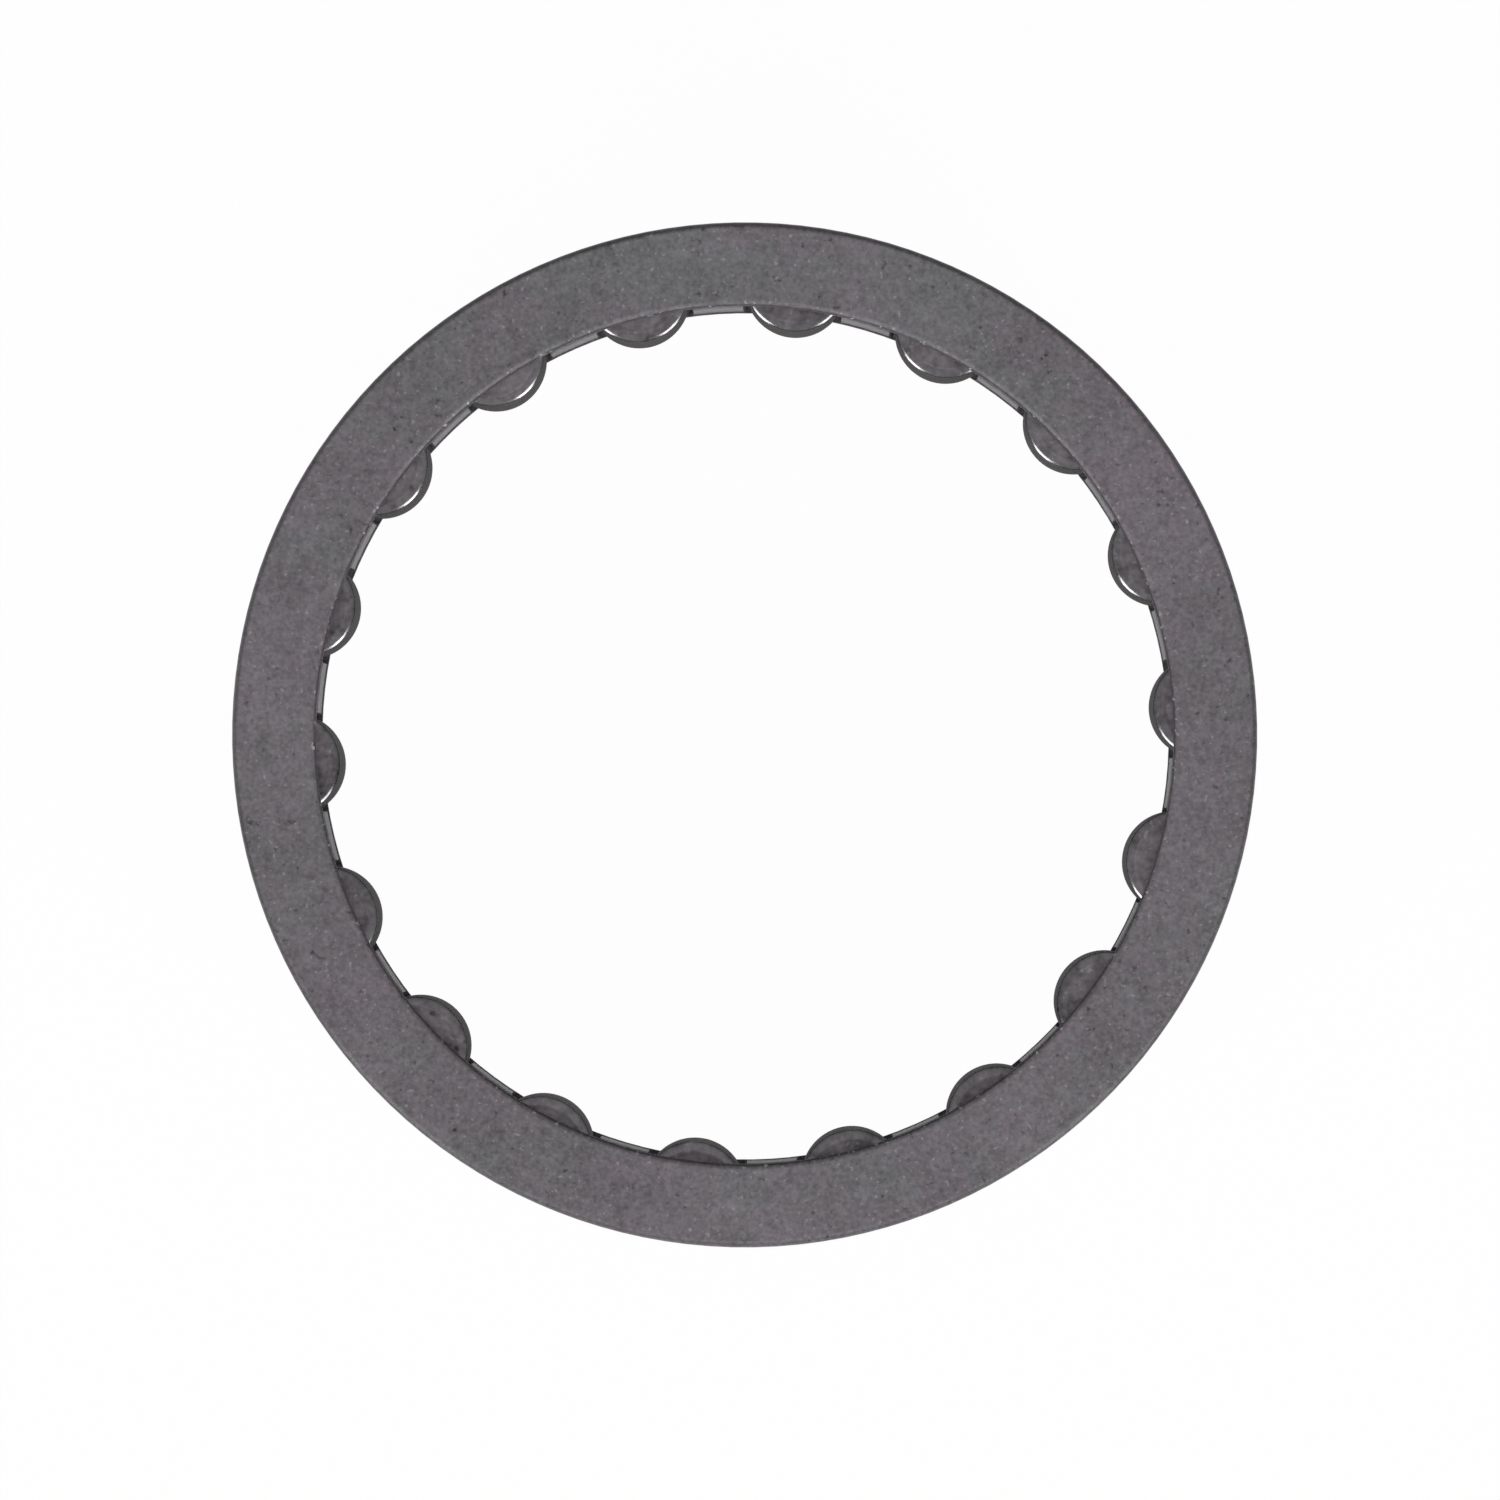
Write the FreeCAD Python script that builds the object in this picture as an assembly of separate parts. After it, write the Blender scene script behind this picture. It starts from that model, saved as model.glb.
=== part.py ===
import FreeCAD, Part
import math
import os

# A needle roller and cage assembly: needle rollers in a one-piece steel cage, with no rings.
# The rollers run straight on a shaft and in a housing, and the cage keeps them apart.
# Sizes are in millimetres. The bearing's axis is Z, and the origin is at its centre.

# What the bearing fits
SHAFT_DIAMETER = 24.0
WIDTH = 17.0

# Rollers
ROLLER_DIAMETER = 3.0
ROLLER_COUNT = 18
ROLLER_EDGE_WIDTH = 0.24        # of the rounded edge, across the end face
ROLLER_EDGE_DEPTH = 0.11        # of the rounded edge, along the side
FIRST_ROLLER_ANGLE = 3.6        # degrees, from +X towards +Y

# Cage: two solid rims joined by bars, turned to an M-shaped section
RIM_THICKNESS = 1.5             # along the axis, at the end of a pocket
BAR_WALL = 0.95                 # thickness of a bar, square to its surface
LAND_RELIEF = 0.08              # radial step from a rim's outside diameter down to the bars
OUTER_LAND_LENGTH = 1.6         # outermost stretch of a bar, next to each rim
SLOPE_LENGTH = 1.6              # along the axis, from an outer land down to the inner land
RIM_OUTER_EDGE_RADIUS = 0.20
RIM_BORE_EDGE_RADIUS = 0.18
RIM_BACK_EDGE_RADIUS = 0.08
RELIEF_EDGE_RADIUS = 0.03
SECTION_FILLET = 0.30           # where the lands, slopes and recesses meet
WINDOW_CORNER_RADIUS = 0.25

# Clearances
CAGE_TO_HOUSING = 0.10          # radial
CAGE_TO_SHAFT = 0.48            # radial
ROLLER_END_PLAY = 0.10          # at each end of a roller
ROLLER_SIDE_CLEARANCE = 0.04    # at each side of a roller
LIP_OVERLAP = 0.05              # how far each lip of a pocket reaches over the roller's side
INWARD_PLAY = 0.45              # from the pitch circle to the inner lips
OUTWARD_PLAY = 0.15             # from the pitch circle to the outer lips
RECESS_SETBACK = 0.15           # the turned recess and relief stop this far short of a pocket's end

# How far each loose roller has settled in its pocket: 0 is flush with the cage's outside
# diameter, and 1 is down on the inner lips.
SETTLED = (0.0, 0.35, 0.15, 0.4, 0.25, 0.3, 0.35, 0.25, 0.1,
           0.3, 0.3, 0.55, 0.0, 0.0, 0.15, 0.1, 0.75, 0.8)

# Sizes that follow
ROLLER_RADIUS = ROLLER_DIAMETER / 2
PITCH_RADIUS = SHAFT_DIAMETER / 2 + ROLLER_RADIUS
HOUSING_RADIUS = PITCH_RADIUS + ROLLER_RADIUS
CAGE_RADIUS = HOUSING_RADIUS - CAGE_TO_HOUSING
BORE_RADIUS = SHAFT_DIAMETER / 2 + CAGE_TO_SHAFT
HALF_WIDTH = WIDTH / 2
HALF_POCKET = HALF_WIDTH - RIM_THICKNESS
ROLLER_LENGTH = 2 * (HALF_POCKET - ROLLER_END_PLAY)

ORIGIN = FreeCAD.Vector(0, 0, 0)
BEARING_AXIS = FreeCAD.Vector(0, 0, 1)


def rounded_wire(corners):
    """A closed wire in the XZ plane round corners (radius, height, fillet), each one rounded."""
    points = [FreeCAD.Vector(radius, 0, height) for radius, height, _ in corners]
    edges = []
    last_end = None
    first_start = None
    for index, (_, _, fillet) in enumerate(corners):
        corner = points[index]
        back = (points[index - 1] - corner).normalize()
        ahead = (points[(index + 1) % len(points)] - corner).normalize()
        half_angle = back.getAngle(ahead) / 2
        setback = fillet / math.tan(half_angle)
        inward = (back + ahead).normalize()
        start = corner + back * setback
        middle = corner + inward * (fillet / math.sin(half_angle) - fillet)
        end = corner + ahead * setback
        if last_end is None:
            first_start = start
        else:
            edges.append(Part.LineSegment(last_end, start).toShape())
        edges.append(Part.Arc(start, middle, end).toShape())
        last_end = end
    edges.append(Part.LineSegment(last_end, first_start).toShape())
    return Part.Wire(edges)


def cage_section():
    """The M-shaped section of the cage, from one rim to the other."""
    land_radius = CAGE_RADIUS - LAND_RELIEF
    drop = land_radius - BORE_RADIUS - BAR_WALL
    slope_top = HALF_POCKET - OUTER_LAND_LENGTH
    slope_foot = slope_top - SLOPE_LENGTH
    # Moving the inner corners along the axis by this much keeps the slope as thick as the lands.
    mitre = BAR_WALL * math.tan(math.atan2(drop, SLOPE_LENGTH) / 2)
    rim_back = HALF_POCKET - RECESS_SETBACK
    upper = [
        (land_radius - drop, slope_foot, SECTION_FILLET),
        (land_radius, slope_top, SECTION_FILLET),
        (land_radius, rim_back, RELIEF_EDGE_RADIUS),
        (CAGE_RADIUS, rim_back, RELIEF_EDGE_RADIUS),
        (CAGE_RADIUS, HALF_WIDTH, RIM_OUTER_EDGE_RADIUS),
        (BORE_RADIUS, HALF_WIDTH, RIM_BORE_EDGE_RADIUS),
        (BORE_RADIUS, rim_back, RIM_BACK_EDGE_RADIUS),
        (land_radius - BAR_WALL, rim_back, SECTION_FILLET),
        (land_radius - BAR_WALL, slope_top + mitre, SECTION_FILLET),
        (BORE_RADIUS, slope_foot + mitre, SECTION_FILLET),
    ]
    lower = [(radius, -height, fillet) for radius, height, fillet in reversed(upper)]
    return Part.Face(rounded_wire(upper + lower))


def window_cutter():
    """The straight slot through the cage's wall on +X, a little narrower than a roller."""
    reach = CAGE_RADIUS
    half_slot = ROLLER_RADIUS - LIP_OVERLAP
    corner = FreeCAD.Vector(PITCH_RADIUS - reach / 2, -half_slot, -HALF_POCKET)
    slot = Part.makeBox(reach, 2 * half_slot, 2 * HALF_POCKET, corner)
    radial_edges = [
        edge for edge in slot.Edges
        if edge.Vertexes[0].X != edge.Vertexes[1].X
    ]
    return slot.makeFillet(WINDOW_CORNER_RADIUS, radial_edges)


def seat_cutter():
    """The wider seat inside the slot on +X, where the roller turns and moves in and out."""
    seat_radius = ROLLER_RADIUS + ROLLER_SIDE_CLEARANCE
    half_slot = ROLLER_RADIUS - LIP_OVERLAP
    # The seat is wider than the roller, so its end's centre stops short of the roller's last place.
    short = (
        math.sqrt(seat_radius ** 2 - half_slot ** 2)
        - math.sqrt(ROLLER_RADIUS ** 2 - half_slot ** 2)
    )
    inner_centre = PITCH_RADIUS - INWARD_PLAY + short
    outer_centre = PITCH_RADIUS + OUTWARD_PLAY - short
    seat = Part.makeBox(
        outer_centre - inner_centre,
        2 * seat_radius,
        2 * HALF_POCKET,
        FreeCAD.Vector(inner_centre, -seat_radius, -HALF_POCKET),
    )
    ends = []
    for centre in (inner_centre, outer_centre):
        foot = FreeCAD.Vector(centre, 0, -HALF_POCKET)
        ends.append(Part.makeCylinder(seat_radius, 2 * HALF_POCKET, foot, BEARING_AXIS))
    return seat.fuse(ends).removeSplitter()


def roller_angles():
    """The angle of each roller round the bearing, in degrees."""
    return [FIRST_ROLLER_ANGLE + index * 360 / ROLLER_COUNT for index in range(ROLLER_COUNT)]


def make_cage():
    """The cage, with a pocket for each roller."""
    ring = cage_section().revolve(ORIGIN, BEARING_AXIS, 360)
    cutters = []
    for angle in roller_angles():
        for cutter in (window_cutter(), seat_cutter()):
            cutter.rotate(ORIGIN, BEARING_AXIS, angle)
            cutters.append(cutter)
    return ring.cut(cutters)


def roller_section():
    """Half of a roller's lengthwise section, in the XZ plane, with an elliptical edge at each end."""
    flat_radius = ROLLER_RADIUS - ROLLER_EDGE_WIDTH
    edges = []
    for end in (ROLLER_LENGTH / 2, -ROLLER_LENGTH / 2):
        side_end = end - math.copysign(ROLLER_EDGE_DEPTH, end)
        flat_rim = FreeCAD.Vector(flat_radius, 0, end)
        side_rim = FreeCAD.Vector(ROLLER_RADIUS, 0, side_end)
        ellipse = Part.Ellipse(side_rim, flat_rim, FreeCAD.Vector(flat_radius, 0, side_end))
        edges.append(Part.LineSegment(FreeCAD.Vector(0, 0, end), flat_rim).toShape())
        edges.append(Part.ArcOfEllipse(ellipse, 0, math.pi / 2).toShape())
    half_side = ROLLER_LENGTH / 2 - ROLLER_EDGE_DEPTH
    for radius, half_line in ((0, ROLLER_LENGTH / 2), (ROLLER_RADIUS, half_side)):
        top = FreeCAD.Vector(radius, 0, half_line)
        bottom = FreeCAD.Vector(radius, 0, -half_line)
        edges.append(Part.LineSegment(top, bottom).toShape())
    return Part.Face(Part.Wire(Part.__sortEdges__(edges)))


def make_roller(index):
    """One roller, standing where it has settled in its pocket."""
    roller = roller_section().revolve(ORIGIN, BEARING_AXIS, 360)
    settled = SETTLED[index % len(SETTLED)]
    drop = CAGE_TO_HOUSING + settled * (INWARD_PLAY - CAGE_TO_HOUSING)
    roller.translate(FreeCAD.Vector(PITCH_RADIUS - drop, 0, 0))
    roller.rotate(ORIGIN, BEARING_AXIS, roller_angles()[index])
    return roller


def main():
    """Writes the cage and every roller as a STEP file of its own."""
    os.makedirs("parts", exist_ok=True)
    make_cage().exportStep("parts/cage.step")
    for index in range(ROLLER_COUNT):
        make_roller(index).exportStep(f"parts/needle_roller_{index + 1:02d}.step")


if __name__ == "__main__":
    main()
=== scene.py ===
import math

import bmesh
import bpy
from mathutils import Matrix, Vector


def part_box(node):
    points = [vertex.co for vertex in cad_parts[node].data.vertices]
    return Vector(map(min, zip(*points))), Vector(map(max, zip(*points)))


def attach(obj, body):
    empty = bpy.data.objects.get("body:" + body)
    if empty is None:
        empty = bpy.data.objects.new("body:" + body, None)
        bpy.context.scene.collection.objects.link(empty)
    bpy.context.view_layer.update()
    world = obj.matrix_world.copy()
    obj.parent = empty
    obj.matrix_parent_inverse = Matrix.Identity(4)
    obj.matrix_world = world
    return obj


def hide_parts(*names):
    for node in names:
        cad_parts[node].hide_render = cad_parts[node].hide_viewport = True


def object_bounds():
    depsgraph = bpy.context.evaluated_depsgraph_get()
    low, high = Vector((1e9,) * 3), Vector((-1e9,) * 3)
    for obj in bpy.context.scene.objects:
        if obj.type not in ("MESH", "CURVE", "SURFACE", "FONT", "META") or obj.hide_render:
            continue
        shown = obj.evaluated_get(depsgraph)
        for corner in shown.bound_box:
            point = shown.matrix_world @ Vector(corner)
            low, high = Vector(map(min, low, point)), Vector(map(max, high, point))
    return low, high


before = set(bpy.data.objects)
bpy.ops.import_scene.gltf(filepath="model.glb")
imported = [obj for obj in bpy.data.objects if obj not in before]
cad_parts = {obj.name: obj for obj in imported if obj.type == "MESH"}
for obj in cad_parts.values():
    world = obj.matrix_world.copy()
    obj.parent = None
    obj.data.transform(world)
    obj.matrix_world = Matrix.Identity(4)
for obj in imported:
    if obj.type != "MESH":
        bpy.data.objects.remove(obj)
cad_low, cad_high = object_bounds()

bl_info = {
    "name": "Needle Roller Bearing",
    "version": (1, 0, 0),
    "blender": (4, 5, 0),
    "location": "3D View > Sidebar > Bearing",
    "description": "A needle roller and cage assembly, with its finishes and a studio stage",
    "category": "Add Mesh",
}

# Sizes are in metres. The bearing's axis is Z, and the origin is at its centre.
CAGE = "cage"
ROLLERS = sorted(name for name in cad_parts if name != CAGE)
PITCH_ANGLE = 2 * math.pi / len(ROLLERS)

_, cage_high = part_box(CAGE)
roller_low, roller_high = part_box(ROLLERS[0])
first_place = (roller_low + roller_high) / 2
FIRST_ANGLE = math.atan2(first_place.y, first_place.x)
CAGE_RADIUS = cage_high.x
HALF_WIDTH = cage_high.z
ROLLER_RADIUS = (roller_high.x - roller_low.x) / 2
HALF_ROLLER = roller_high.z

SAME_PLACE = 1e-7                       # points nearer than this are merged
BURR_ANGLE = math.radians(32)           # the cut edges of the cage turn by more than this
EDGE_BREAK_ANGLE = math.radians(35)     # edges that turn by more than this are broken
SHARP_ANGLE = math.radians(40)          # edges that turn by more than this stay sharp
TURN_AT_REST = 2.4                      # from each roller's turn to the next one's, in radians
LAYER_RELIEF = 3e-6                     # height of the phosphate layer's grain
GRINDING_RELIEF = 1e-6                  # height of the grinding rings
GRINDING_SCALE = (300.0, 300.0, 30000.0)    # of the rings' noise, densest along the roller
PLACE_ON_ROLLER = "on_roller"


# --- Settings ---

def length(name, description, default):
    """A distance property, in metres."""
    return bpy.props.FloatProperty(
        name=name, description=description, default=default,
        min=0.0, precision=5, subtype="DISTANCE", unit="LENGTH",
    )


def colour(name, description, default):
    """A linear colour property."""
    return bpy.props.FloatVectorProperty(
        name=name, description=description, default=default,
        size=3, min=0.0, max=1.0, subtype="COLOR",
    )


def share(name, description, default):
    """A property between 0 and 1."""
    return bpy.props.FloatProperty(
        name=name, description=description, default=default,
        min=0.0, max=1.0, subtype="FACTOR",
    )


def angle(name, description, degrees):
    """An angle property, whose default is given in degrees."""
    return bpy.props.FloatProperty(
        name=name, description=description, default=math.radians(degrees),
        subtype="ANGLE", unit="ROTATION",
    )


class CageSettings(bpy.types.PropertyGroup):
    """Sizes and colours of the cage."""
    bore_radius: length("Bore radius", "Inside radius of the rims and the bars' middles", 0.01248)
    rim_thickness: length("Rim thickness", "Along the axis, at the end of a pocket", 0.0015)
    bar_wall: length("Bar wall", "Thickness of a bar, square to its surface", 0.00095)
    land_relief: length("Land relief", "Step from a rim down to the bars", 0.00008)
    outer_land: length("Outer land", "Length of a bar's outermost stretch, next to a rim", 0.0016)
    slope: length("Slope", "Along the axis, from an outer land to the inner land", 0.0016)
    recess_setback: length("Recess setback", "From the recess's end to the pocket's end", 0.00015)
    section_fillet: length("Section fillet", "Where lands, slopes and recesses meet", 0.0003)
    outer_edge: length("Outer edge", "Rounding of a rim's outer edge", 0.0002)
    bore_edge: length("Bore edge", "Rounding of a rim's bore edge", 0.00018)
    back_edge: length("Back edge", "Rounding of a rim's bore edge on its inner side", 0.00008)
    relief_edge: length("Relief edge", "Rounding of the step from a rim to the bars", 0.00003)
    window_corner: length("Window corner", "Rounding of a window's corners", 0.00025)
    lip_overlap: length("Lip overlap", "How far a lip reaches over a roller's side", 0.00005)
    side_clearance: length("Side clearance", "Between a roller and its seat", 0.00004)
    seat_inner: length("Seat inner centre", "Axis of the seat's inner end", 0.013185)
    seat_outer: length("Seat outer centre", "Axis of the seat's outer end", 0.013515)
    edge_break: length("Edge break", "Bevel on the windows' edges after tumbling", 0.00004)
    steel: colour("Phosphated steel", "Colour of the matt grey layer", (0.1632, 0.1500, 0.1640))
    # Bare steel is the colour of the knocked nicks, and also of the painted light on the bars'
    # inner lands.
    bare: colour("Bare steel", "Colour where the layer is rubbed through", (0.42, 0.402, 0.415))
    # Bore shade and Outer shade are painted shade: they darken the rims' bores and rounded edges
    # where light leaves dark lines.
    bore_shade: share("Bore shade", "Brightness of each rim's burnished bore and its edge", 0.34)
    outer_shade: share("Outer shade", "Brightness of each rim's burnished outer edge", 0.62)


class RollerSettings(bpy.types.PropertyGroup):
    """Sizes and colours of the rollers."""
    edge_width: length("Edge width", "Of the rounded edge, across the end face", 0.00024)
    edge_depth: length("Edge depth", "Of the rounded edge, along the side", 0.000077)
    crest: length("Crest", "Width of the flat ring inside the rounded edge", 0.00003)
    dish_slope: length("Dish slope", "Width of the slope into the dished end", 0.00014)
    dish_depth: length("Dish depth", "How far the end face lies below its ring", 0.000008)
    ground: colour("Ground steel", "Ground side's colour, seen face on", (0.46, 0.45, 0.445))
    # Painted shade: the side's colour seen along it is darker, for the dark reflection there.
    painted_glancing_shade: colour("Ground along", "The same side, seen along it", (0.235, 0.228, 0.226))
    # Edge steel is darker than the ground side as painted shade, for the dark outline round each
    # roller's end.
    edge_steel_painted_dark: colour("Edge steel", "Colour of the tumbled edges", (0.228, 0.217, 0.230))
    end_film: colour("End film", "Film on the end faces", (0.302, 0.276, 0.296))


class StageSettings(bpy.types.PropertyGroup):
    """The camera, the lamps and the floor."""
    camera_distance: length("Camera distance", "From the near end face to the camera", 1.1)
    lens: bpy.props.FloatProperty(
        name="Lens", description="Focal length", default=908.5, subtype="DISTANCE_CAMERA",
    )
    tilt: bpy.props.FloatVectorProperty(
        name="Tilt", description="Turns of the camera about X and Y from straight down",
        default=(math.radians(0.153), math.radians(0.091)), size=2,
        subtype="EULER", unit="ROTATION",
    )
    shift: bpy.props.FloatVectorProperty(
        name="Shift", description="Lens shift across and up", default=(0.00357, -0.0101), size=2,
    )
    lamp_distance: length("Lamp distance", "From the bearing to each softbox", 0.6)
    left_azimuth: angle("Left azimuth", "Direction of the left softbox, from +X towards +Y", 225)
    right_azimuth: angle("Right azimuth", "Direction of the right softbox, from +X towards +Y", 313)
    lamp_elevation: angle("Lamp elevation", "Height of the softboxes above the horizon", 28)
    lamp_width: length("Lamp width", "Width of each softbox", 0.21)
    lamp_height: length("Lamp height", "Height of each softbox", 0.58)
    lamp_radiance: bpy.props.FloatProperty(
        name="Lamp radiance", description="How bright each softbox looks, where 1 is white",
        default=5.8, min=0.0,
    )
    walls: share("Walls", "Brightness of the room's far walls", 0.05)
    ceiling: share("Ceiling", "How much brighter the middle of the ceiling is", 0.44)
    ceiling_lean: angle("Ceiling lean", "How far the ceiling light leans towards the softboxes", 8)
    floor_radius: length("Floor radius", "Radius of the round floor", 4.0)
    floor_colour: colour("Floor", "Colour of the floor", (0.80, 0.80, 0.80))
    floor_whiteness: share("Floor whiteness", "How much of the white floor ignores shadows", 0.98)


# --- Modelling helpers ---

def nothing_selected():
    """Leaves edit mode and deselects every object."""
    if bpy.context.object and bpy.context.object.mode != "OBJECT":
        bpy.ops.object.mode_set(mode="OBJECT")
    bpy.ops.object.select_all(action="DESELECT")


def make_active(piece):
    """Selects one object and makes it the active one."""
    nothing_selected()
    piece.select_set(True)
    bpy.context.view_layer.objects.active = piece


def edit(piece):
    """Opens one object in edit mode with nothing in it selected."""
    make_active(piece)
    bpy.ops.object.mode_set(mode="EDIT")
    bpy.ops.mesh.select_all(action="DESELECT")


def pick(piece, kind, test):
    """In edit mode, selects only the vertices, edges or faces that pass a test."""
    bpy.ops.mesh.select_mode(type=kind)
    bpy.ops.mesh.select_all(action="DESELECT")
    mesh = bmesh.from_edit_mesh(piece.data)
    parts = {"VERT": mesh.verts, "EDGE": mesh.edges, "FACE": mesh.faces}[kind]
    chosen = [part for part in parts if test(part)]
    for part in chosen:
        part.select_set(True)
    mesh.select_flush_mode()
    bmesh.update_edit_mesh(piece.data)
    if not chosen:
        raise RuntimeError(f"nothing to select on {piece.name}")


def apply_modifier(piece, name, kind, **values):
    """Adds a modifier with these values and applies it."""
    make_active(piece)
    modifier = piece.modifiers.new(name, kind)
    for key, value in values.items():
        setattr(modifier, key, value)
    bpy.ops.object.modifier_apply(modifier=modifier.name)


def finish_surface(piece, smooth_angle):
    """Merges doubles, points the faces outwards and shades them smooth up to an angle."""
    edit(piece)
    bpy.ops.mesh.select_all(action="SELECT")
    bpy.ops.mesh.remove_doubles(threshold=SAME_PLACE)
    bpy.ops.mesh.normals_make_consistent(inside=False)
    bpy.ops.object.mode_set(mode="OBJECT")
    bpy.ops.object.shade_smooth_by_angle(angle=smooth_angle)


def dress(piece, body, material):
    """Gives a finished piece its material in its first slot and its body, and hides the CAD node
    named by the body.
    """
    piece.data.materials.clear()
    piece.data.materials.append(material)
    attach(piece, body)
    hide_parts(body)


# --- Cage ---

def draw_outline(name, corners):
    """A flat face with these corners (radius, height), drawn in the XZ plane point by point."""
    points = [Vector((radius, 0.0, height)) for radius, height in corners]
    # A plane merged to its middle leaves the first point.
    bpy.ops.mesh.primitive_plane_add(size=CAGE_RADIUS / 10, location=points[0])
    piece = bpy.context.object
    piece.name = name
    bpy.ops.object.transform_apply(location=True)
    bpy.ops.object.mode_set(mode="EDIT")
    bpy.ops.mesh.select_mode(type="VERT")
    bpy.ops.mesh.select_all(action="SELECT")
    bpy.ops.mesh.merge(type="CENTER")
    for start, end in zip(points, points[1:]):
        bpy.ops.mesh.extrude_region_move(TRANSFORM_OT_translate={"value": end - start})
    bpy.ops.mesh.select_all(action="SELECT")
    bpy.ops.mesh.edge_face_add()
    return piece


def round_corner(piece, corner, turn, radius, segments):
    """In edit mode, rounds the outline at a corner (radius, height) where it turns by an angle."""
    across, height = corner
    place = Vector((across, 0.0, height))
    pick(piece, "VERT", lambda vert: (vert.co - place).length < 10 * SAME_PLACE)
    setback = radius * math.tan(turn / 2)
    bpy.ops.mesh.bevel(
        offset=setback, offset_type="OFFSET", segments=segments, affect="VERTICES",
        clamp_overlap=False,
    )


def spin_round(piece, steps):
    """In edit mode, spins the outline's edges once round the axis into a closed ring."""
    bpy.ops.mesh.select_all(action="SELECT")
    bpy.ops.mesh.delete(type="ONLY_FACE")
    bpy.ops.mesh.select_all(action="SELECT")
    bpy.ops.mesh.spin(steps=steps, angle=2 * math.pi, center=(0, 0, 0), axis=(0, 0, 1))
    bpy.ops.mesh.select_all(action="SELECT")
    bpy.ops.mesh.remove_doubles(threshold=SAME_PLACE)
    bpy.ops.mesh.normals_make_consistent(inside=False)
    bpy.ops.object.mode_set(mode="OBJECT")


def turned_ring(settings):
    """The cage before its pockets are cut: an M-shaped section spun round the axis."""
    half_pocket = HALF_WIDTH - settings.rim_thickness
    land = CAGE_RADIUS - settings.land_relief
    drop = land - settings.bore_radius - settings.bar_wall
    slope_turn = math.atan2(drop, settings.slope)
    slope_top = half_pocket - settings.outer_land
    slope_foot = slope_top - settings.slope
    mitre = settings.bar_wall * math.tan(slope_turn / 2)
    rim_back = half_pocket - settings.recess_setback
    square = math.pi / 2
    # radius, height, turn of the outline, rounding, segments in the rounding
    upper = [
        (land - drop, slope_foot, slope_turn, settings.section_fillet, 4),
        (land, slope_top, slope_turn, settings.section_fillet, 4),
        (land, rim_back, square, settings.relief_edge, 2),
        (CAGE_RADIUS, rim_back, square, settings.relief_edge, 2),
        (CAGE_RADIUS, HALF_WIDTH, square, settings.outer_edge, 6),
        (settings.bore_radius, HALF_WIDTH, square, settings.bore_edge, 8),
        (settings.bore_radius, rim_back, square, settings.back_edge, 3),
        (land - settings.bar_wall, rim_back, square, settings.section_fillet, 6),
        (land - settings.bar_wall, slope_top + mitre, slope_turn, settings.section_fillet, 4),
        (settings.bore_radius, slope_foot + mitre, slope_turn, settings.section_fillet, 4),
    ]
    lower = [(across, -height, *rest) for across, height, *rest in reversed(upper)]
    corners = upper + lower
    ring = draw_outline("cage_ring", [corner[:2] for corner in corners])
    for across, height, turn, radius, segments in corners:
        round_corner(ring, (across, height), turn, radius, segments)
    bpy.ops.mesh.select_all(action="SELECT")
    bpy.ops.transform.rotate(value=-FIRST_ANGLE, orient_axis="Z", center_override=(0, 0, 0))
    steps_per_pocket = 8
    spin_round(ring, steps=steps_per_pocket * len(ROLLERS))
    return ring


def window_cutter(settings):
    """A straight slot with rounded corners, on +X, for one window of the cage."""
    half_slot = ROLLER_RADIUS - settings.lip_overlap
    half_pocket = HALF_WIDTH - settings.rim_thickness
    middle = (settings.seat_inner + settings.seat_outer) / 2
    bpy.ops.mesh.primitive_cube_add(size=1, location=(middle, 0, 0))
    cutter = bpy.context.object
    cutter.name = "window_cutter"
    cutter.scale = (CAGE_RADIUS / 2, 2 * half_slot, 2 * half_pocket)
    bpy.ops.object.transform_apply(location=True, scale=True)
    edit(cutter)
    pick(cutter, "EDGE", lambda edge: abs(edge.verts[0].co.x - edge.verts[1].co.x) > half_slot)
    bpy.ops.mesh.bevel(offset=settings.window_corner, segments=4, affect="EDGES")
    bpy.ops.object.mode_set(mode="OBJECT")
    return cutter


def seat_cutter(settings):
    """A stadium-shaped prism on +X, for the seat that a roller turns in."""
    radius = ROLLER_RADIUS + settings.side_clearance
    half_pocket = HALF_WIDTH - settings.rim_thickness
    # A little shorter than the window, so that the two cuts don't share an end face.
    depth = 2 * (half_pocket - settings.side_clearance / 2)
    bpy.ops.mesh.primitive_cylinder_add(
        vertices=96, radius=radius, depth=depth, location=(settings.seat_inner, 0, 0),
    )
    cutter = bpy.context.object
    cutter.name = "seat_cutter"
    bpy.ops.object.transform_apply(location=True)
    edit(cutter)
    stretch = settings.seat_outer - settings.seat_inner
    pick(cutter, "VERT", lambda vert: vert.co.x > settings.seat_inner + radius / 1000)
    bpy.ops.transform.translate(value=(stretch, 0, 0))
    bpy.ops.object.mode_set(mode="OBJECT")
    return cutter


def ring_of(cutter):
    """Copies a cutter to every roller's place and joins the copies."""
    copies = []
    for index in range(len(ROLLERS)):
        make_active(cutter)
        bpy.ops.object.duplicate(linked=False)
        copy = bpy.context.object
        bpy.ops.transform.rotate(
            value=-(FIRST_ANGLE + index * PITCH_ANGLE), orient_axis="Z", center_override=(0, 0, 0),
        )
        bpy.ops.object.transform_apply(location=True, rotation=True)
        copies.append(copy)
    bpy.data.objects.remove(cutter)
    make_active(copies[0])
    for copy in copies:
        copy.select_set(True)
    bpy.ops.object.join()
    return bpy.context.object


def cut(piece, cutter):
    """Cuts a shape out of a piece and takes the cutter away."""
    apply_modifier(piece, "Cut", "BOOLEAN", operation="DIFFERENCE", solver="EXACT", object=cutter)
    bpy.data.objects.remove(cutter)


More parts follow.
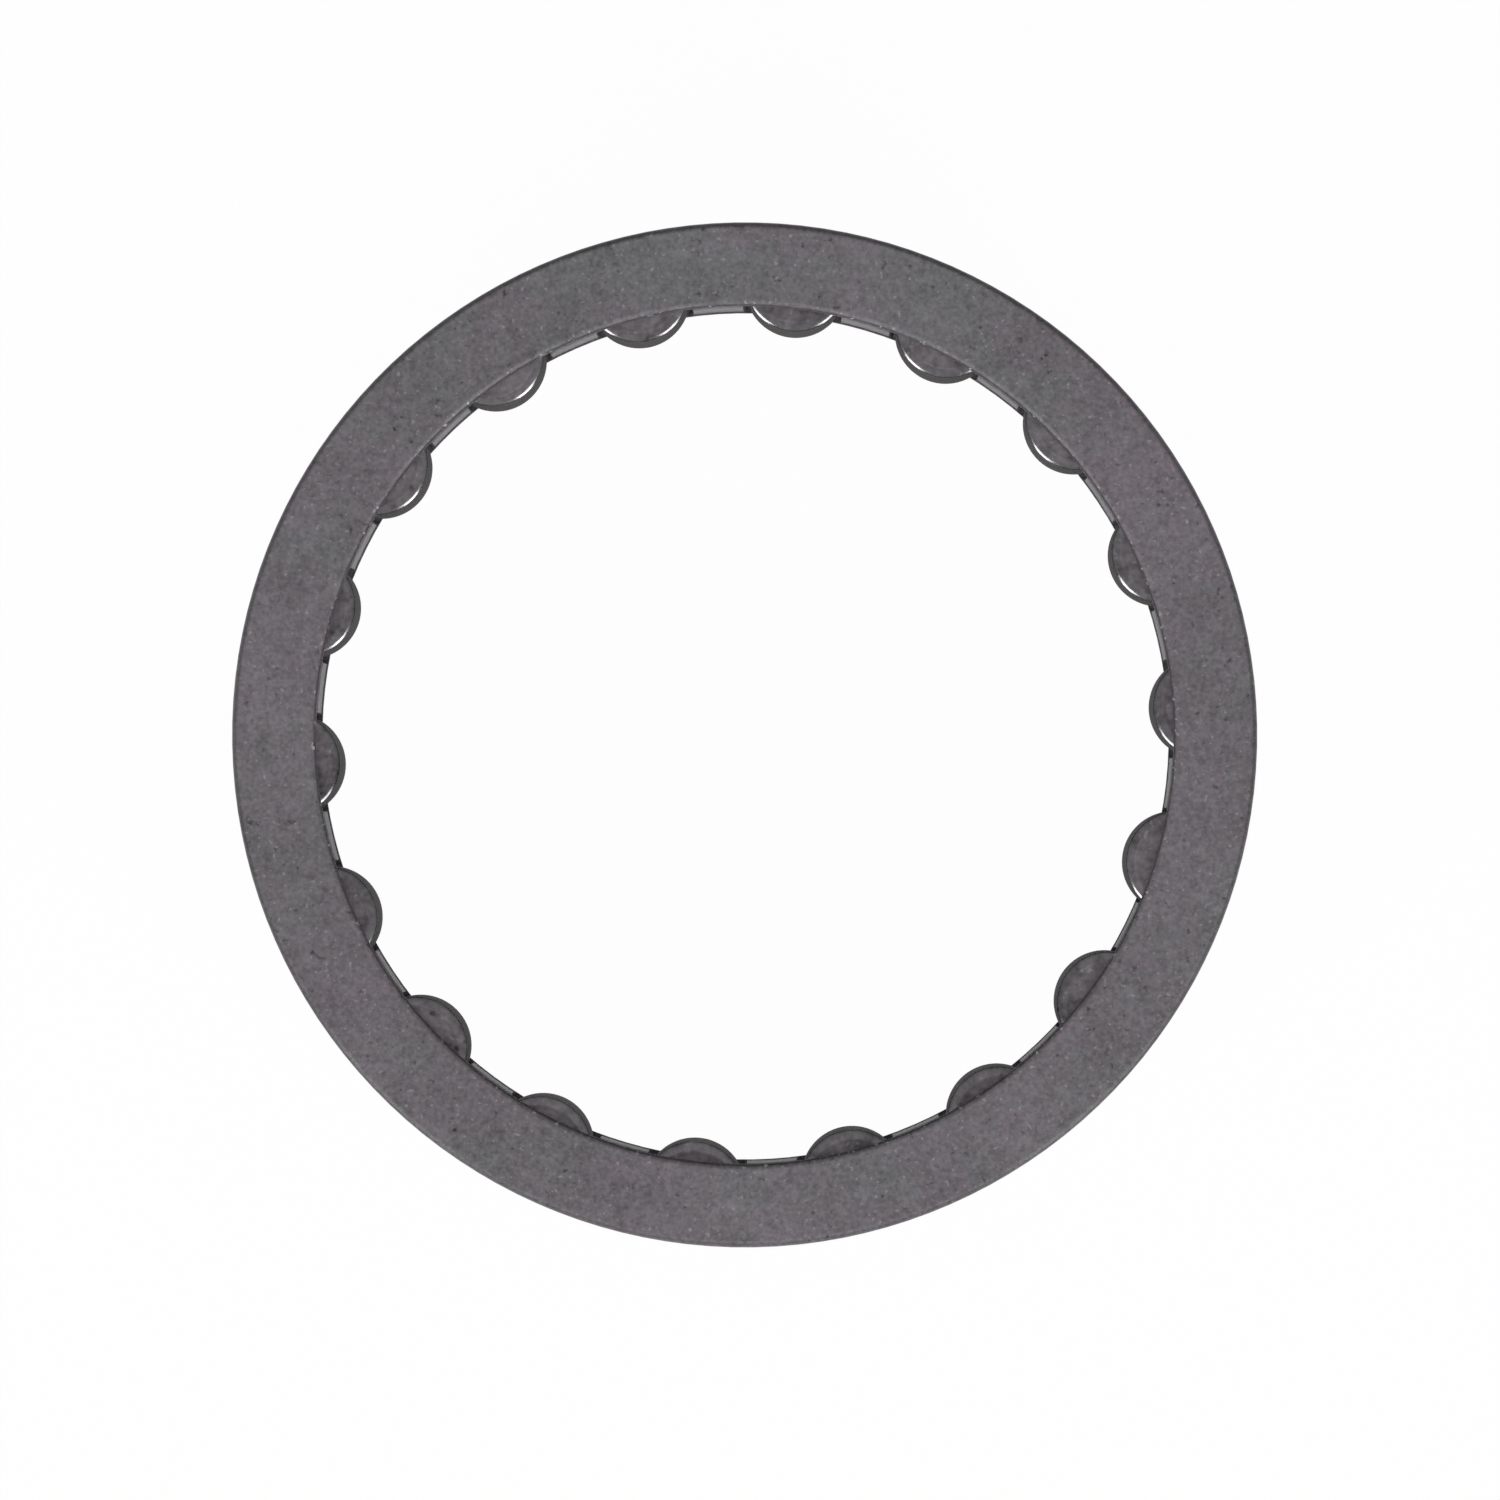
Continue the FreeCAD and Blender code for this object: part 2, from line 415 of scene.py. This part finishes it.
class BEARING_OT_cage(bpy.types.Operator):
    """Turns the cage's M-shaped ring, cuts its windows and seats, and breaks their edges"""
    bl_idname = "bearing.cage"
    bl_label = "Cage"

    def execute(self, context):
        settings = context.scene.bearing_cage
        nothing_selected()
        ring = turned_ring(settings)
        cut(ring, ring_of(window_cutter(settings)))
        cut(ring, ring_of(seat_cutter(settings)))
        finish_surface(ring, BURR_ANGLE)
        apply_modifier(
            ring, "Edge break", "BEVEL", width=settings.edge_break, segments=3,
            limit_method="ANGLE", angle_limit=EDGE_BREAK_ANGLE, use_clamp_overlap=True,
        )
        bpy.ops.object.shade_smooth_by_angle(angle=SHARP_ANGLE)
        apply_modifier(ring, "Flat faces", "WEIGHTED_NORMAL", keep_sharp=True)
        ring.name = "machined_cage"
        dress(ring, CAGE, phosphated_steel(settings))
        return {"FINISHED"}


# --- Rollers ---

def model_roller(settings):
    """One roller at the origin: a cylinder with rounded edges and slightly dished ends."""
    bpy.ops.mesh.primitive_cylinder_add(
        vertices=72, radius=ROLLER_RADIUS, depth=2 * HALF_ROLLER, end_fill_type="NGON",
    )
    roller = bpy.context.object
    edit(roller)
    flat = 0.9
    pick(roller, "FACE", lambda face: abs(face.normal.z) > flat)
    bpy.ops.mesh.region_to_loop()
    bpy.ops.mesh.bevel(offset=settings.edge_width, segments=12, affect="EDGES")
    # Squeezing the round edge towards the end makes it elliptical.
    squeeze = settings.edge_depth / settings.edge_width
    below_edge = HALF_ROLLER - 1.01 * settings.edge_width
    for end in (HALF_ROLLER, -HALF_ROLLER):
        pick(roller, "VERT", lambda vert: vert.co.z * math.copysign(1, end) > below_edge)
        bpy.ops.transform.resize(value=(1, 1, squeeze), center_override=(0, 0, end))
    for end in (1, -1):
        # Each end is one face with many corners, and the edge's faces have four.
        pick(roller, "FACE", lambda face: len(face.verts) > 4 and face.normal.z * end > flat)
        dish(settings)
    bpy.ops.object.mode_set(mode="OBJECT")
    return roller


def dish(settings):
    """In edit mode, sinks the selected end face inside a narrow flat ring."""
    bpy.ops.mesh.inset(thickness=settings.crest)
    # Shares of the slope's width and depth, gentler at its top and foot.
    slope, depth = settings.dish_slope, settings.dish_depth
    for across, down in ((0.3, 0.2), (0.4, 0.6), (0.3, 0.2)):
        bpy.ops.mesh.inset(thickness=slope * across, depth=-depth * down)
    bpy.ops.mesh.inset(thickness=slope)


def remember_place(roller):
    """Keeps each point's place on the roller itself, for patterns that turn with it."""
    places = roller.data.attributes.new(PLACE_ON_ROLLER, "FLOAT_VECTOR", "POINT")
    places.data.foreach_set("vector", [value for vert in roller.data.vertices for value in vert.co])


class BEARING_OT_rollers(bpy.types.Operator):
    """Models one needle roller and copies it into every pocket"""
    bl_idname = "bearing.rollers"
    bl_label = "Rollers"

    def execute(self, context):
        settings = context.scene.bearing_rollers
        nothing_selected()
        pattern = model_roller(settings)
        finish_surface(pattern, SHARP_ANGLE)
        apply_modifier(pattern, "Flat faces", "WEIGHTED_NORMAL", keep_sharp=True)
        remember_place(pattern)
        material = ground_steel(settings)
        for number, node in enumerate(ROLLERS, start=1):
            low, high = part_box(node)
            make_active(pattern)
            bpy.ops.object.duplicate(linked=False)
            roller = bpy.context.object
            roller.name = f"roller_{number:02d}"
            # Each roller has come to rest at its own turn.
            turn = number * TURN_AT_REST
            bpy.ops.transform.rotate(value=turn, orient_axis="Z", center_override=(0, 0, 0))
            bpy.ops.transform.translate(value=(low + high) / 2)
            bpy.ops.object.transform_apply(location=True, rotation=True)
            dress(roller, node, material)
        bpy.data.objects.remove(pattern)
        return {"FINISHED"}


# --- Finishes ---

def group_of(name, inputs, outputs):
    """A new shader node group with these inputs (name, kind, default) and outputs (name, kind)."""
    group = bpy.data.node_groups.new(name, "ShaderNodeTree")
    for label, kind, default in inputs:
        socket = group.interface.new_socket(label, in_out="INPUT", socket_type=kind)
        if default is not None:
            socket.default_value = default
    for label, kind in outputs:
        group.interface.new_socket(label, in_out="OUTPUT", socket_type=kind)
    return group


def add(tree, kind, **values):
    """Adds a node and sets its properties and, by name, its inputs."""
    node = tree.nodes.new(kind)
    for key, value in values.items():
        if key in node.inputs:
            node.inputs[key].default_value = value
        else:
            setattr(node, key, value)
    return node


def link(tree, source, target):
    """Joins an output socket to an input socket."""
    tree.links.new(source, target)


def feed(tree, value, target):
    """Joins a socket to an input socket, or sets the input socket to a plain value."""
    if isinstance(value, bpy.types.NodeSocket):
        link(tree, value, target)
    else:
        target.default_value = value


def noise(tree, vector, scale, roughness=0.5):
    """A noise texture's value."""
    node = add(tree, "ShaderNodeTexNoise", Scale=scale, Detail=2.0, Roughness=roughness)
    link(tree, vector, node.inputs["Vector"])
    return node.outputs["Fac"]


def ramp(tree, value, low, high, start=0.0, end=1.0):
    """Maps a value between low and high to a clamped value between start and end, smoothly."""
    node = add(tree, "ShaderNodeMapRange", interpolation_type="SMOOTHSTEP")
    link(tree, value, node.inputs["Value"])
    node.inputs["From Min"].default_value = low
    node.inputs["From Max"].default_value = high
    node.inputs["To Min"].default_value = start
    node.inputs["To Max"].default_value = end
    return node.outputs["Result"]


def calculate(tree, operation, first, second):
    """A math node on two values or sockets."""
    node = add(tree, "ShaderNodeMath", operation=operation)
    for socket, value in zip(node.inputs, (first, second)):
        feed(tree, value, socket)
    return node.outputs["Value"]


def blend_colours(tree, factor, first, second, blend_type="MIX"):
    """Mixes two colours or colour sockets by a factor."""
    node = add(tree, "ShaderNodeMix", data_type="RGBA", blend_type=blend_type)
    # A Mix node has sockets for each kind of data, and these are the ones for colours.
    for index, value in ((0, factor), (6, first), (7, second)):
        feed(tree, value, node.inputs[index])
    return node.outputs[2]


def opaque(rgb):
    """A colour with full alpha."""
    return (*rgb, 1.0)


def steel_grain():
    """Mottling, light and dark specks, and slow patches of tint for any steel surface."""
    name = "Steel grain"
    if name in bpy.data.node_groups:
        return bpy.data.node_groups[name]
    group = group_of(
        name,
        [("Vector", "NodeSocketVector", None), ("Grain Scale", "NodeSocketFloat", 9000.0),
         ("Fine Depth", "NodeSocketFloat", 0.6), ("Coarse Depth", "NodeSocketFloat", 0.4),
         ("Light Specks", "NodeSocketFloat", 0.3), ("Dark Specks", "NodeSocketFloat", 0.3),
         ("Patch Scale", "NodeSocketFloat", 350.0)],
        [("Shade", "NodeSocketFloat"), ("Patch", "NodeSocketFloat"), ("Height", "NodeSocketFloat")],
    )
    start = add(group, "NodeGroupInput")
    end = add(group, "NodeGroupOutput")

    def layer(share_of_scale, detail, step):
        """Noise at a share of the grain's scale, moved a step away so that no two layers match."""
        moved = add(group, "ShaderNodeVectorMath", operation="ADD")
        link(group, start.outputs["Vector"], moved.inputs[0])
        moved.inputs[1].default_value = (step, 2 * step, 3 * step)
        node = add(group, "ShaderNodeTexNoise", Detail=detail, Roughness=0.5)
        link(group, moved.outputs["Vector"], node.inputs["Vector"])
        scale = calculate(group, "MULTIPLY", start.outputs["Grain Scale"], share_of_scale)
        link(group, scale, node.inputs["Scale"])
        return node.outputs["Fac"]

    fine = layer(1.0, 1.0, 0.0)
    shade = 1.0
    # noise, whose depth it follows, share of that depth
    for value, depth, share_of_depth in (
        (fine, "Fine Depth", 1.0),
        (layer(0.36, 1.0, 0.01), "Coarse Depth", 1.0),
        (layer(0.09, 2.0, 0.02), "Coarse Depth", 0.7),
        (layer(0.014, 2.0, 0.05), "Coarse Depth", 0.9),
    ):
        swing = calculate(group, "SUBTRACT", value, 0.5)
        swing = calculate(group, "MULTIPLY", swing, share_of_depth)
        swing = calculate(group, "MULTIPLY", swing, start.outputs[depth])
        shade = calculate(group, "ADD", shade, swing)
    for value, strength, operation in (
        (layer(0.8, 1.0, 0.03), "Light Specks", "ADD"),
        (layer(0.45, 1.5, 0.04), "Dark Specks", "SUBTRACT"),
    ):
        specks = ramp(group, value, 0.66, 0.76)
        specks = calculate(group, "MULTIPLY", specks, start.outputs[strength])
        shade = calculate(group, operation, shade, specks)
    link(group, shade, end.inputs["Shade"])
    slow = add(group, "ShaderNodeTexNoise", Detail=7.0, Roughness=0.85)
    link(group, start.outputs["Vector"], slow.inputs["Vector"])
    link(group, start.outputs["Patch Scale"], slow.inputs["Scale"])
    link(group, ramp(group, slow.outputs["Fac"], 0.36, 0.64), end.inputs["Patch"])
    link(group, fine, end.inputs["Height"])
    return group


def place_group(tree, group, vector, **values):
    """Places a node group in a material with its own values."""
    node = tree.nodes.new("ShaderNodeGroup")
    node.node_tree = group
    link(tree, vector, node.inputs["Vector"])
    for key, value in values.items():
        node.inputs[key.replace("_", " ").title()].default_value = value
    return node


def new_material(name):
    """An empty node material with a Principled shader, and its Object coordinates."""
    material = bpy.data.materials.new(name)
    material.use_nodes = True
    tree = material.node_tree
    shader = tree.nodes["Principled BSDF"]
    coordinates = add(tree, "ShaderNodeTexCoord").outputs["Object"]
    return material, tree, shader, coordinates


def phosphated_steel(settings):
    """Matt grey layer with grain, specks, patches of tint and knocked nicks; painted shade at the
    rims' edges and painted light on the inner lands.
    """
    material, tree, shader, place = new_material("Phosphated steel")
    grain = place_group(
        tree, steel_grain(), place, grain_scale=9000.0, fine_depth=0.92, coarse_depth=0.47,
        light_specks=0.6, dark_specks=0.42, patch_scale=120.0,
    )
    warm = [channel * tint for channel, tint in zip(settings.steel, (1.045, 0.972, 1.006))]
    cool = [channel * tint for channel, tint in zip(settings.steel, (0.955, 1.028, 0.994))]
    layer = blend_colours(tree, grain.outputs["Patch"], opaque(warm), opaque(cool))
    distance = distance_from_axis(tree, place)
    height = height_from_middle(tree, place)
    half_pocket = HALF_WIDTH - settings.rim_thickness
    rims = ramp(tree, height, half_pocket - settings.section_fillet, half_pocket)
    bars = calculate(tree, "SUBTRACT", 1.0, rims)
    # Painted shade darkens the rims' bores and rounded edges.
    edge_shade = painted_edge_shade(tree, distance, height, rims, settings)
    colour_out = shaded(tree, layer, calculate(tree, "MULTIPLY", grain.outputs["Shade"], edge_shade))
    nicks = edge_nicks(tree, place, distance, height, settings)
    # Painted light brightens the bars' inner lands towards bare steel; the nicks are real knocks.
    rubbed = painted_land_light(tree, distance, height, bars, settings)
    nicks_and_land_light = calculate(tree, "MAXIMUM", nicks, rubbed)
    colour_out = blend_colours(tree, nicks_and_land_light, colour_out, opaque(settings.bare))
    link(tree, colour_out, shader.inputs["Base Color"])
    link(tree, matt_layer(tree, place, distance, rims, bars, settings), shader.inputs["Roughness"])
    shader.inputs["Metallic"].default_value = 0.0
    shader.inputs["Specular IOR Level"].default_value = 0.2
    bump = add(tree, "ShaderNodeBump", Strength=0.5, Distance=LAYER_RELIEF)
    link(tree, grain.outputs["Height"], bump.inputs["Height"])
    link(tree, bump.outputs["Normal"], shader.inputs["Normal"])
    return material


def shaded(tree, layer, shade):
    """A colour times a shade."""
    tone = add(tree, "ShaderNodeCombineColor")
    for channel in tone.inputs:
        link(tree, shade, channel)
    return blend_colours(tree, 1.0, layer, tone.outputs["Color"], "MULTIPLY")


def distance_from_axis(tree, place):
    """How far a place is from the Z axis."""
    parts = add(tree, "ShaderNodeSeparateXYZ")
    link(tree, place, parts.inputs["Vector"])
    flat = add(tree, "ShaderNodeCombineXYZ")
    link(tree, parts.outputs["X"], flat.inputs["X"])
    link(tree, parts.outputs["Y"], flat.inputs["Y"])
    distance = add(tree, "ShaderNodeVectorMath", operation="LENGTH")
    link(tree, flat.outputs["Vector"], distance.inputs[0])
    return distance.outputs["Value"]


def height_from_middle(tree, place):
    """How far a place is from the bearing's middle plane."""
    parts = add(tree, "ShaderNodeSeparateXYZ")
    link(tree, place, parts.inputs["Vector"])
    return calculate(tree, "ABSOLUTE", parts.outputs["Z"], 0.0)


def bore_ramp(tree, distance, settings, low, high, start=0.0, end=1.0):
    """A ramp outwards from the bore, between two shares of the bore edge's rounding."""
    bore, edge = settings.bore_radius, settings.bore_edge
    return ramp(tree, distance, bore + low * edge, bore + high * edge, start, end)


def rim_ramp(tree, distance, settings, low, high, start=0.0, end=1.0):
    """A ramp outwards to the rim's outside, between two shares of the outer edge's rounding."""
    edge = settings.outer_edge
    return ramp(tree, distance, CAGE_RADIUS - low * edge, CAGE_RADIUS - high * edge, start, end)


def painted_edge_shade(tree, distance, height, rims, settings):
    """Painted shade: the brightness left where the rims' bores and rounded edges are darkened, and
    1 elsewhere.
    """
    bore_side = bore_ramp(tree, distance, settings, 0.0, 0.42, settings.bore_shade, 1.0)
    outer_side = rim_ramp(tree, distance, settings, 0.9, 0.35, 1.0, settings.outer_shade)
    # The painted shade on a rim's bore falls to half strength away from its end face, and on its
    # outside to none.
    start, end = HALF_WIDTH - 3 * settings.outer_edge, HALF_WIDTH - settings.outer_edge
    bore_shade_reach = calculate(tree, "MULTIPLY", ramp(tree, height, start, end, 0.5, 1.0), rims)
    outer_shade_reach = ramp(tree, height, start, end)
    left = 1.0
    for side, reach in ((bore_side, bore_shade_reach), (outer_side, outer_shade_reach)):
        loss = calculate(tree, "MULTIPLY", calculate(tree, "SUBTRACT", 1.0, side), reach)
        left = calculate(tree, "SUBTRACT", left, loss)
    return left


def matt_layer(tree, place, distance, rims, bars, settings):
    """The layer's roughness: dull on the rims, smoother on the bars and round the rims' edges."""
    dull = ramp(tree, noise(tree, place, 2500.0), 0.3, 0.7, 0.64, 0.78)
    inside = bore_ramp(tree, distance, settings, 0.15, 0.35)
    outside = bore_ramp(tree, distance, settings, 0.7, 1.1, 1.0, 0.0)
    outer_side = rim_ramp(tree, distance, settings, 0.9, 0.6)
    bore_gloss = calculate(tree, "MULTIPLY", calculate(tree, "MULTIPLY", inside, outside), 0.30)
    outer_gloss = calculate(tree, "MULTIPLY", outer_side, 0.42)
    on_rims = calculate(tree, "MULTIPLY", calculate(tree, "MAXIMUM", bore_gloss, outer_gloss), rims)
    on_bars = calculate(tree, "MULTIPLY", bars, 0.18)
    return calculate(tree, "SUBTRACT", calculate(tree, "SUBTRACT", dull, on_rims), on_bars)


def painted_land_light(tree, distance, height, bars, settings):
    """Painted light: how far the bars' inner lands are brightened to bare steel, most of all
    halfway along.
    """
    inner = bore_ramp(tree, distance, settings, 0.2, 1.0, 0.22, 0.0)
    middle = ramp(tree, height, 0.18 * HALF_WIDTH, 0.40 * HALF_WIDTH, 1.0, 0.1)
    return calculate(tree, "MULTIPLY", calculate(tree, "MULTIPLY", inner, middle), bars)


def edge_nicks(tree, place, distance, height, settings):
    """Small bright nicks where the bore edge of each end face has been knocked."""
    near_bore = bore_ramp(tree, distance, settings, 0.3, 0.9, 1.0, 0.0)
    edge = settings.bore_edge
    near_face = ramp(tree, height, HALF_WIDTH - edge, HALF_WIDTH - 0.7 * edge)
    spots = ramp(tree, noise(tree, place, 4500.0, 0.6), 0.62, 0.70)
    return calculate(tree, "MULTIPLY", calculate(tree, "MULTIPLY", near_bore, near_face), spots)


def ground_steel(settings):
    """Bright ground sides with fine rings, darker end faces under a thin film, and painted shade on
    the rounded edges and on the sides seen at a glance.
    """
    material, tree, shader, place = new_material("Ground roller steel")
    own_place = add(tree, "ShaderNodeAttribute", attribute_name=PLACE_ON_ROLLER).outputs["Vector"]
    distance = distance_from_axis(tree, own_place)
    flat_radius = ROLLER_RADIUS - settings.edge_width
    outside_film = ramp(tree, distance, flat_radius - settings.crest, flat_radius)
    on_side = ramp(tree, distance, 0.990 * ROLLER_RADIUS, 0.998 * ROLLER_RADIUS)
    # The rounded edges' darker steel is painted shade.
    film, edge = opaque(settings.end_film), opaque(settings.edge_steel_painted_dark)
    steel = blend_colours(tree, outside_film, film, edge)
    # Painted shade: the ground side's colour darkens from face on to a glance along it, for the
    # dark reflection seen there, and the side grows duller at a glance.
    glance = add(tree, "ShaderNodeLayerWeight", Blend=0.5).outputs["Facing"]
    along = ramp(tree, glance, 0.8, 0.97)
    side = blend_colours(tree, along, opaque(settings.ground), opaque(settings.painted_glancing_shade))
    steel = blend_colours(tree, on_side, steel, side)
    grain = place_group(
        tree, steel_grain(), place, grain_scale=7000.0, fine_depth=0.8, coarse_depth=1.1,
        light_specks=0.5, dark_specks=0.4, patch_scale=900.0,
    )
    # Grinding leaves fine rings round the side, which vary only along the roller.
    lay = add(tree, "ShaderNodeMapping", Scale=GRINDING_SCALE)
    link(tree, own_place, lay.inputs["Vector"])
    rings = noise(tree, lay.outputs["Vector"], 1.0)
    mottling = calculate(tree, "SUBTRACT", grain.outputs["Shade"], 1.0)
    mottling = calculate(tree, "MULTIPLY", mottling, ramp(tree, on_side, 0.0, 1.0, 1.0, 0.12))
    scratches = calculate(tree, "MULTIPLY", calculate(tree, "SUBTRACT", rings, 0.5), on_side)
    scratches = calculate(tree, "MULTIPLY", scratches, 0.35)
    shade = calculate(tree, "ADD", calculate(tree, "ADD", mottling, scratches), 1.0)
    link(tree, shaded(tree, steel, shade), shader.inputs["Base Color"])
    roughness = ramp(tree, outside_film, 0.0, 1.0, 0.37, 0.18)
    dulling = calculate(tree, "MULTIPLY", ramp(tree, along, 0.0, 1.0, 0.06, 0.28), on_side)
    link(tree, calculate(tree, "ADD", roughness, dulling), shader.inputs["Roughness"])
    shader.distribution = "GGX"
    shader.inputs["Metallic"].default_value = 1.0
    # A dark tint at the edge keeps the side dark where it would mirror the white floor.
    shader.inputs["Specular Tint"].default_value = (0.02, 0.02, 0.02, 1.0)
    bump = add(tree, "ShaderNodeBump", Strength=0.3, Distance=GRINDING_RELIEF)
    link(tree, rings, bump.inputs["Height"])
    link(tree, bump.outputs["Normal"], shader.inputs["Normal"])
    return material


# --- Stage ---

def floor_material(settings):
    """A pale floor that looks white to the camera and in reflections, and keeps a soft shadow."""
    material = bpy.data.materials.new("Pale floor")
    material.use_nodes = True
    tree = material.node_tree
    lit = tree.nodes["Principled BSDF"]
    lit.inputs["Base Color"].default_value = opaque(settings.floor_colour)
    lit.inputs["Roughness"].default_value = 0.9
    lit.inputs["Specular IOR Level"].default_value = 0.0
    rays = add(tree, "ShaderNodeLightPath")
    seen = calculate(tree, "MAXIMUM", rays.outputs["Is Camera Ray"], rays.outputs["Is Glossy Ray"])
    seen = calculate(tree, "MAXIMUM", seen, rays.outputs["Is Transmission Ray"])
    white = add(tree, "ShaderNodeEmission", Color=(1.0, 1.0, 1.0, 1.0), Strength=1.0)
    mix = add(tree, "ShaderNodeMixShader")
    link(tree, calculate(tree, "MULTIPLY", seen, settings.floor_whiteness), mix.inputs[0])
    link(tree, lit.outputs[0], mix.inputs[1])
    link(tree, white.outputs[0], mix.inputs[2])
    # From below, the floor is clear, so that the underside can be seen.
    clear = add(tree, "ShaderNodeBsdfTransparent")
    side = add(tree, "ShaderNodeMixShader")
    link(tree, add(tree, "ShaderNodeNewGeometry").outputs["Backfacing"], side.inputs[0])
    link(tree, mix.outputs[0], side.inputs[1])
    link(tree, clear.outputs[0], side.inputs[2])
    link(tree, side.outputs[0], tree.nodes["Material Output"].inputs["Surface"])
    return material


def add_floor(settings):
    """A round floor that the bearing lies on."""
    bpy.ops.mesh.primitive_circle_add(
        vertices=96, radius=settings.floor_radius, fill_type="NGON", location=(0, 0, cad_low.z),
    )
    floor = bpy.context.object
    floor.name = "floor"
    floor.data.materials.append(floor_material(settings))


def add_room(settings):
    """A plain room, white at the horizon, with dim walls and a soft ceiling light that leans."""
    world = bpy.data.worlds.new("Room")
    world.use_nodes = True
    tree = world.node_tree
    direction = add(tree, "ShaderNodeTexCoord").outputs["Generated"]
    towards_light = add(tree, "ShaderNodeVectorMath", operation="DOT_PRODUCT")
    link(tree, direction, towards_light.inputs[0])
    lean = settings.ceiling_lean
    towards_light.inputs[1].default_value = (0.0, -math.sin(lean), math.cos(lean))
    glow = calculate(tree, "MAXIMUM", towards_light.outputs["Value"], 0.0)
    glow = calculate(tree, "MULTIPLY", glow, settings.ceiling)
    room = calculate(tree, "ADD", glow, settings.walls)
    height = add(tree, "ShaderNodeSeparateXYZ")
    link(tree, direction, height.inputs["Vector"])
    skirting = ramp(tree, height.outputs["Z"], 0.03, 0.05, 1.0, 0.0)
    background = tree.nodes["Background"]
    link(tree, calculate(tree, "MAXIMUM", room, skirting), background.inputs["Strength"])
    background.inputs["Color"].default_value = (1.0, 1.0, 1.0, 1.0)
    bpy.context.scene.world = world


def add_softbox(name, azimuth, settings):
    """A rectangular area lamp that faces the bearing from an azimuth."""
    away = Vector((
        math.cos(azimuth) * math.cos(settings.lamp_elevation),
        math.sin(azimuth) * math.cos(settings.lamp_elevation),
        math.sin(settings.lamp_elevation),
    ))
    bpy.ops.object.light_add(type="AREA", location=away * settings.lamp_distance)
    lamp = bpy.context.object
    lamp.name = name
    lamp.rotation_mode = "QUATERNION"
    lamp.rotation_quaternion = away.to_track_quat("Z", "Y")
    lamp.data.shape = "RECTANGLE"
    lamp.data.size = settings.lamp_width
    lamp.data.size_y = settings.lamp_height
    # A lamp of this power has the stated radiance over its face.
    lamp.data.energy = settings.lamp_radiance * math.pi * settings.lamp_width * settings.lamp_height


def add_camera(settings):
    """A long lens, almost straight above the near end face."""
    camera = bpy.data.objects.new("camera", bpy.data.cameras.new("camera"))
    bpy.context.scene.collection.objects.link(camera)
    camera.rotation_euler = (settings.tilt[0], settings.tilt[1], 0.0)
    aim = Vector((0.0, 0.0, HALF_WIDTH))
    look = camera.rotation_euler.to_matrix() @ Vector((0.0, 0.0, -1.0))
    camera.location = aim - look * settings.camera_distance
    camera.data.sensor_width = 36.0
    camera.data.lens = settings.lens
    camera.data.shift_x = settings.shift[0]
    camera.data.shift_y = settings.shift[1]
    camera.data.clip_start = 0.1
    camera.data.clip_end = 20.0
    bpy.context.scene.camera = camera


class BEARING_OT_stage(bpy.types.Operator):
    """Adds the floor, the room, two softboxes and the camera"""
    bl_idname = "bearing.stage"
    bl_label = "Stage"

    def execute(self, context):
        settings = context.scene.bearing_stage
        nothing_selected()
        add_floor(settings)
        add_room(settings)
        add_softbox("softbox_left", settings.left_azimuth, settings)
        add_softbox("softbox_right", settings.right_azimuth, settings)
        add_camera(settings)
        context.scene.view_settings.view_transform = "Standard"
        return {"FINISHED"}


# --- Panel and start ---

class BEARING_PT_panel(bpy.types.Panel):
    """Lists the steps that build the bearing"""
    bl_idname = "BEARING_PT_panel"
    bl_label = "Needle Roller Bearing"
    bl_space_type = "VIEW_3D"
    bl_region_type = "UI"
    bl_category = "Bearing"

    def draw(self, context):
        for operator in (BEARING_OT_cage, BEARING_OT_rollers, BEARING_OT_stage):
            self.layout.operator(operator.bl_idname)
        scene = context.scene
        for group in (scene.bearing_cage, scene.bearing_rollers, scene.bearing_stage):
            box = self.layout.box()
            for name in group.__annotations__:
                box.prop(group, name)


CLASSES = (
    CageSettings, RollerSettings, StageSettings,
    BEARING_OT_cage, BEARING_OT_rollers, BEARING_OT_stage, BEARING_PT_panel,
)


def register():
    """Registers the classes and puts their settings on the scene."""
    for cls in CLASSES:
        bpy.utils.register_class(cls)
    bpy.types.Scene.bearing_cage = bpy.props.PointerProperty(type=CageSettings)
    bpy.types.Scene.bearing_rollers = bpy.props.PointerProperty(type=RollerSettings)
    bpy.types.Scene.bearing_stage = bpy.props.PointerProperty(type=StageSettings)


def unregister():
    """Takes the settings and the classes away again."""
    del bpy.types.Scene.bearing_cage
    del bpy.types.Scene.bearing_rollers
    del bpy.types.Scene.bearing_stage
    for cls in reversed(CLASSES):
        bpy.utils.unregister_class(cls)


def main():
    """Builds the bearing and its stage."""
    register()
    bpy.ops.bearing.cage()
    bpy.ops.bearing.rollers()
    bpy.ops.bearing.stage()


if __name__ == "__main__":
    main()
